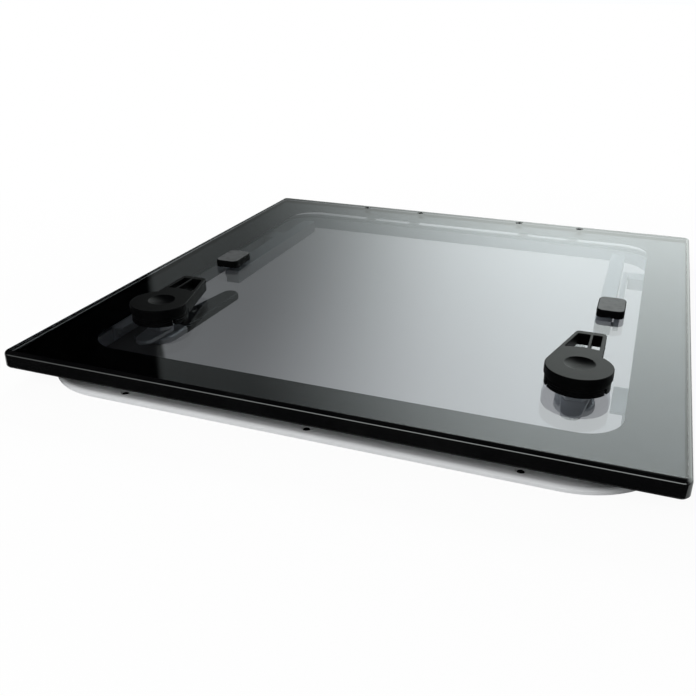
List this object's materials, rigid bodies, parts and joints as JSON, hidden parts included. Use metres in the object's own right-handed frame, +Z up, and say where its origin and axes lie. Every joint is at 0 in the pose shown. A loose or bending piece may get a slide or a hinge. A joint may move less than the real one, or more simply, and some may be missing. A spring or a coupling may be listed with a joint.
{
  "type": "deck hatch",
  "caption": "Low flush deck hatch with a tinted acrylic lid, black border, rotary latches with inner levers, and sliding hold-open stays on a pale flanged frame.",
  "frame": {"origin": "on the deck plane under the middle of the lid", "axes": "+X to the hatch's right as seen from the latches, +Y toward the hinges, +Z up out of the deck"},
  "size_m": [0.58, 0.608, 0.0511],
  "materials": {
    "tinted_acrylic": "polished, grey tint",
    "black_border": "opaque printed layer",
    "black_plastic": "fine moulded grain",
    "pale_plastic": "smooth moulded",
    "frame_coat": "pale satin powder coat",
    "seal_rubber": "matt extruded",
    "stainless": "fine brushed",
    "black_steel": "blackened",
    "anodised": "satin anodised"
  },
  "bodies": {
    "frame": {"lower_frame": "frame_coat", "frame_gasket": "seal_rubber", "keeper_left": "stainless", "keeper_right": "stainless", "keeper_screw_left_front": "stainless", "keeper_screw_left_back": "stainless", "keeper_screw_right_front": "stainless", "keeper_screw_right_back": "stainless", "stay_bracket_left": "anodised", "stay_bracket_right": "anodised", "stay_pin_left": "stainless", "stay_pin_right": "stainless", "hinge_frame_leaf_left": "stainless", "hinge_frame_leaf_right": "stainless", "leaf_screw_left_inner": "stainless", "leaf_screw_left_outer": "stainless", "leaf_screw_right_inner": "stainless", "leaf_screw_right_outer": "stainless"},
    "lid": {"lens": "tinted_acrylic", "border_mask": "black_border", "escutcheon_left": "black_plastic", "escutcheon_right": "black_plastic", "spindle_bush_left": "pale_plastic", "spindle_bush_right": "pale_plastic", "bush_nut_left": "stainless", "bush_nut_right": "stainless", "stay_cap_left": "black_plastic", "stay_cap_right": "black_plastic", "anchor_screw_left": "stainless", "anchor_screw_right": "stainless", "stay_track_left": "anodised", "stay_track_right": "anodised", "hinge_lid_leaf_left": "stainless", "hinge_lid_leaf_right": "stainless", "hinge_screw_left_inner": "black_steel", "hinge_screw_left_outer": "black_steel", "hinge_screw_right_inner": "black_steel", "hinge_screw_right_outer": "black_steel", "hinge_pin_left": "stainless", "hinge_pin_right": "stainless"},
    "latch_left": {"handle_left": "black_plastic", "spindle_left": "stainless", "spindle_screw_left": "stainless", "latch_tongue_left": "stainless", "inner_lever_left": "anodised"},
    "latch_right": {"handle_right": "black_plastic", "spindle_right": "stainless", "spindle_screw_right": "stainless", "latch_tongue_right": "stainless", "inner_lever_right": "anodised"},
    "stay_left": {"stay_arm_left": "stainless", "stay_roller_left": "pale_plastic"},
    "stay_right": {"stay_arm_right": "stainless", "stay_roller_right": "pale_plastic"}
  },
  "joints": [
    {"name": "lid_hinge", "type": "hinge", "parent": "frame", "child": "lid", "pos_m": [0, 0.294, 0.0095], "axis": [-1, 0, 0], "range_deg": [0, 70]},
    {"name": "left_latch_turn", "type": "hinge", "parent": "lid", "child": "latch_left", "pos_m": [-0.2, -0.184, 0.049], "axis": [0, 0, -1], "range_deg": [0, 90]},
    {"name": "right_latch_turn", "type": "hinge", "parent": "lid", "child": "latch_right", "pos_m": [0.2, -0.184, 0.049], "axis": [0, 0, 1], "range_deg": [0, 90]},
    {"name": "left_stay_swing", "type": "hinge", "parent": "frame", "child": "stay_left", "pos_m": [-0.218, 0.1445, 0.0095], "axis": [-1, 0, 0], "range_deg": [0, 140]},
    {"name": "right_stay_swing", "type": "hinge", "parent": "frame", "child": "stay_right", "pos_m": [0.218, 0.1445, 0.0095], "axis": [-1, 0, 0], "range_deg": [0, 140]}
  ],
  "couplings": [
    {"joint": "left_stay_swing", "follows": "lid_hinge", "ratio": 2},
    {"joint": "right_stay_swing", "follows": "lid_hinge", "ratio": 2}
  ]
}
